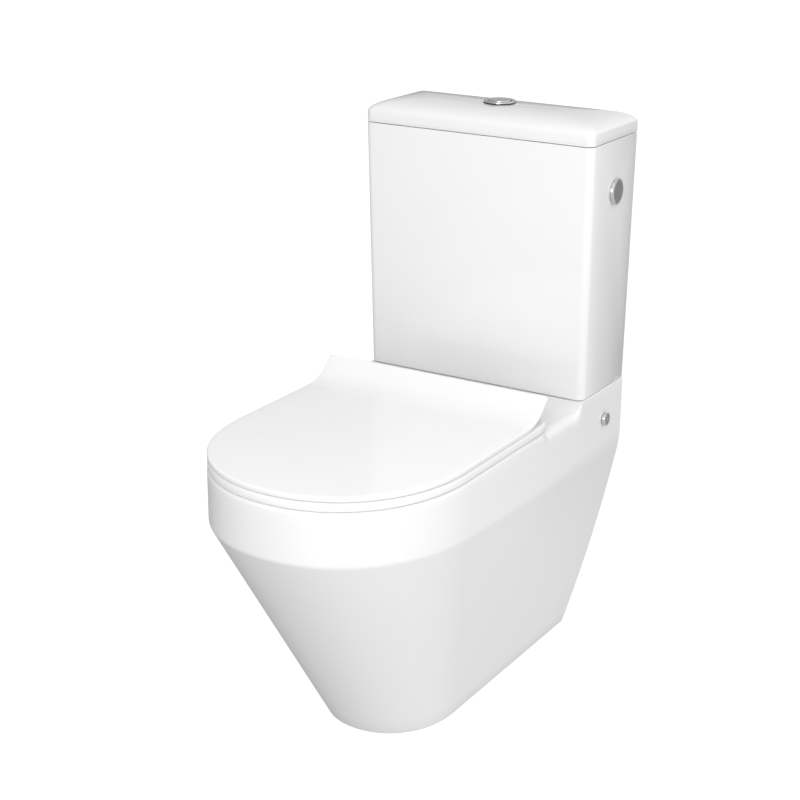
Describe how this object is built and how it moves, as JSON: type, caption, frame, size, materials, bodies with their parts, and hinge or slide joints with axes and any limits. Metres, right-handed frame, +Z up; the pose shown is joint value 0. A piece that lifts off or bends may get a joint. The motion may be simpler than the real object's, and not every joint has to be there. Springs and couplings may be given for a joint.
{
  "type": "close coupled toilet",
  "caption": "Back-to-wall close coupled toilet with tapered pan, box cistern, slim lift-up seat and lid, dual push button flush and side water inlet.",
  "frame": {"origin": "on the floor, on the centreline, midway between the wall face behind and the front of the pan's rim", "axes": "+Z up; +Y towards the wall, so the pan faces -Y; +X to the right as seen by someone facing the toilet"},
  "size_m": [0.3775, 0.658, 0.8223],
  "materials": {
    "china": "white glazed vitreous china",
    "seat_plastic": "glossy white thermoset",
    "chrome": "polished chrome plate",
    "steel": "zinc plated steel",
    "valve_white": "moulded white plastic",
    "valve_blue": "moulded blue plastic",
    "nut_grey": "moulded grey nylon",
    "black_rubber": "black rubber",
    "clear_rubber": "pale silicone rubber",
    "gasket_foam": "closed-cell sponge rubber"
  },
  "bodies": {
    "base": {"pan": "china", "cistern_tank": "china", "blanking_plug": "chrome", "pan_screw_cap_left": "chrome", "pan_screw_cap_right": "chrome", "hinge_post_left": "chrome", "hinge_post_right": "chrome", "wall_bracket_left": "steel", "wall_bracket_right": "steel", "pan_screw_left": "steel", "pan_screw_right": "steel", "cistern_bolt_left": "steel", "cistern_bolt_right": "steel", "float_arm_pin": "steel", "hinge_pin_left": "steel", "hinge_pin_right": "steel", "hinge_stud_left": "steel", "hinge_stud_right": "steel", "flush_valve_body": "valve_white", "fill_valve_body": "valve_white", "discharge_tube": "valve_white", "fill_valve_cap": "valve_blue", "cistern_wing_nut_left": "nut_grey", "cistern_wing_nut_right": "nut_grey", "flush_valve_nut": "nut_grey", "inlet_nut": "nut_grey", "blanking_nut": "nut_grey", "hinge_wing_nut_left": "nut_grey", "hinge_wing_nut_right": "nut_grey", "cistern_bolt_seal_left": "black_rubber", "cistern_bolt_seal_right": "black_rubber", "platform_washer_left": "black_rubber", "platform_washer_right": "black_rubber", "flush_valve_washer": "black_rubber", "inlet_washer": "black_rubber", "blanking_washer": "black_rubber", "hinge_washer_left": "black_rubber", "hinge_washer_right": "black_rubber", "coupling_gasket": "gasket_foam"},
    "seat": {"seat_ring": "seat_plastic", "seat_bumper_1": "clear_rubber", "seat_bumper_2": "clear_rubber", "seat_bumper_3": "clear_rubber", "seat_bumper_4": "clear_rubber"},
    "lid": {"seat_lid": "seat_plastic", "lid_bumper_1": "clear_rubber", "lid_bumper_2": "clear_rubber"},
    "cistern_cover": {"cistern_lid": "china", "button_bezel": "chrome", "button_nut": "nut_grey", "full_button_spring": "steel", "half_button_spring": "steel"},
    "full_button": {"full_flush_button": "chrome"},
    "half_button": {"half_flush_button": "chrome"},
    "full_plunger": {"full_flush_plunger": "valve_blue"},
    "half_plunger": {"half_flush_plunger": "valve_blue"},
    "flush_lift": {"overflow_tube": "valve_blue", "flush_seal": "clear_rubber"},
    "float": {"fill_float": "valve_blue"},
    "float_arm": {"float_arm": "valve_white"}
  },
  "joints": [
    {"name": "seat_hinge", "type": "hinge", "parent": "base", "child": "seat", "pos_m": [0, 0.115, 0.432], "axis": [-1, 0, 0], "range_deg": [0, 98]},
    {"name": "lid_hinge", "type": "hinge", "parent": "seat", "child": "lid", "pos_m": [0, 0.115, 0.432], "axis": [1, 0, 0], "range_deg": [-100, 0]},
    {"name": "cistern_lid_lift", "type": "slide", "parent": "base", "child": "cistern_cover", "axis": [0, 0, 1], "range_m": [0, 0.1]},
    {"name": "full_button_press", "type": "slide", "parent": "cistern_cover", "child": "full_button", "axis": [0, 0, -1], "range_m": [0, 0.005], "stiffness_N_per_m": 400, "springref_m": -0.003, "deforming": ["full_button_spring"]},
    {"name": "half_button_press", "type": "slide", "parent": "cistern_cover", "child": "half_button", "axis": [0, 0, -1], "range_m": [0, 0.005], "stiffness_N_per_m": 400, "springref_m": -0.003, "deforming": ["half_button_spring"]},
    {"name": "full_plunger_press", "type": "slide", "parent": "base", "child": "full_plunger", "axis": [0, 0, -1], "range_m": [0, 0.005]},
    {"name": "half_plunger_press", "type": "slide", "parent": "base", "child": "half_plunger", "axis": [0, 0, -1], "range_m": [0, 0.005]},
    {"name": "flush_valve_lift", "type": "slide", "parent": "base", "child": "flush_lift", "axis": [0, 0, 1], "range_m": [0, 0.015]},
    {"name": "float_rise", "type": "slide", "parent": "base", "child": "float", "axis": [0, 0, 1], "range_m": [0, 0.01]},
    {"name": "float_arm_swing", "type": "hinge", "parent": "base", "child": "float_arm", "pos_m": [-0.122, 0.273, 0.729], "axis": [-1, 0, 0], "range_deg": [0, 22.5]}
  ],
  "couplings": [
    {"joint": "full_plunger_press", "follows": "full_button_press", "ratio": 1},
    {"joint": "flush_valve_lift", "follows": "full_button_press", "ratio": 3},
    {"joint": "half_plunger_press", "follows": "half_button_press", "ratio": 1},
    {"joint": "float_arm_swing", "follows": "float_rise", "rad_per_m": 39}
  ]
}
